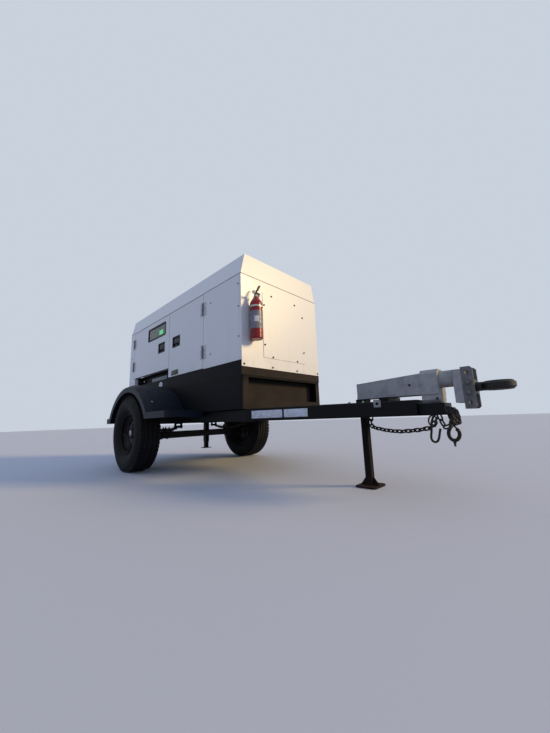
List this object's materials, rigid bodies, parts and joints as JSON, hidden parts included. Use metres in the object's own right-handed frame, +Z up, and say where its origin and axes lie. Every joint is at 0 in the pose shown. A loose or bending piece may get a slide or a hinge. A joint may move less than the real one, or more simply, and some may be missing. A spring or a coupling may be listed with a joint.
{
  "type": "towable diesel generator",
  "caption": "Towable diesel generator: a sound-proofed steel canopy on a fuel tank and a single-axle trailer with a drawbar, stand leg and surge coupler with a lunette eye.",
  "frame": {"origin": "on the ground, below the middle of the whole length and width", "axes": "+X to the towing end, -Y to the side with the control panel, +Z up"},
  "size_m": [4.229, 1.81, 2.062],
  "materials": {
    "canopy_white": "gloss powder coat",
    "frame_black": "satin black paint, dusty",
    "tank_black": "satin black paint",
    "fender_black": "satin black paint, scuffed",
    "tyre": "worn road tyre",
    "rim": "silver paint, dirty",
    "actuator_grey": "grey paint, weathered",
    "bare_steel": "zinc plated, dull",
    "forged_black": "black forged steel",
    "rusty_steel": "rusted dark paint",
    "latch_black": "black moulded plastic",
    "seal_rubber": "black rubber",
    "window_glass": "clear polycarbonate",
    "extinguisher_red": "gloss red enamel",
    "lamp_red": "red moulded lens",
    "engine_paint": "grey engine enamel",
    "cooler_black": "matt black",
    "cabinet_grey": "grey powder coat"
  },
  "bodies": {
    "set": {"side_rail_near": "frame_black", "side_rail_far": "frame_black", "drawbar_near": "frame_black", "drawbar_far": "frame_black", "cross_members": "frame_black", "rear_bar": "frame_black", "drawbar_plates": "frame_black", "fuel_tank": "tank_black", "skid_frame": "tank_black", "floor_plate": "tank_black", "front_wall": "canopy_white", "front_cover": "canopy_white", "rear_wall": "canopy_white", "intake_louvres": "canopy_white", "side_panels": "canopy_white", "rear_strips": "canopy_white", "door_posts": "canopy_white", "far_doors": "canopy_white", "far_door_latches": "latch_black", "fixed_hinges": "canopy_white", "roof": "canopy_white", "roof_grille": "canopy_white", "lifting_eye": "canopy_white", "terminal_bay": "cabinet_grey", "terminal_lugs": "seal_rubber", "control_cabinet": "cabinet_grey", "cooler": "cooler_black", "engine": "engine_paint", "alternator": "engine_paint", "axle": "frame_black", "leaf_springs": "frame_black", "spring_hangers": "frame_black", "fender_near": "fender_black", "fender_far": "fender_black", "leg_sleeve": "frame_black", "actuator_channel": "actuator_grey", "actuator_block": "actuator_grey", "extinguisher_bottle": "extinguisher_red", "extinguisher_valve": "forged_black", "extinguisher_bracket": "bare_steel", "tail_lamps": "lamp_red", "rear_stands": "frame_black"},
    "front_door_leaf": {"front_door": "canopy_white", "front_door_latch": "latch_black", "front_door_hinges": "canopy_white"},
    "rear_door_leaf": {"rear_door": "canopy_white", "rear_door_latch": "latch_black", "rear_door_hinges": "canopy_white", "window_seal": "seal_rubber", "window_pane": "window_glass"},
    "wheel_near": {"tyre_near": "tyre", "rim_near": "rim"},
    "wheel_far": {"tyre_far": "tyre", "rim_far": "rim"},
    "stand": {"stand_leg": "rusty_steel"},
    "coupler": {"slide_tube": "actuator_grey", "coupler_bracket": "actuator_grey", "lunette_eye": "forged_black"}
  },
  "joints": [
    {"name": "front_door_swing", "type": "hinge", "parent": "set", "child": "front_door_leaf", "pos_m": [-0.1475, -0.539, 1.374], "axis": [0, 0, 1], "range_deg": [0, 110]},
    {"name": "rear_door_swing", "type": "hinge", "parent": "set", "child": "rear_door_leaf", "pos_m": [-1.9185, -0.539, 1.43], "axis": [0, 0, -1], "range_deg": [0, 110]},
    {"name": "wheel_near_spin", "type": "hinge", "parent": "set", "child": "wheel_near", "pos_m": [-1.0905, -0.7725, 0.397], "axis": [0, 1, 0], "continuous": true},
    {"name": "wheel_far_spin", "type": "hinge", "parent": "set", "child": "wheel_far", "pos_m": [-1.0905, 0.7725, 0.397], "axis": [0, 1, 0], "continuous": true},
    {"name": "stand_slide", "type": "slide", "parent": "set", "child": "stand", "axis": [0, 0, 1], "range_m": [0, 0.14]},
    {"name": "surge_slide", "type": "slide", "parent": "set", "child": "coupler", "axis": [1, 0, 0], "range_m": [-0.05, 0]}
  ]
}
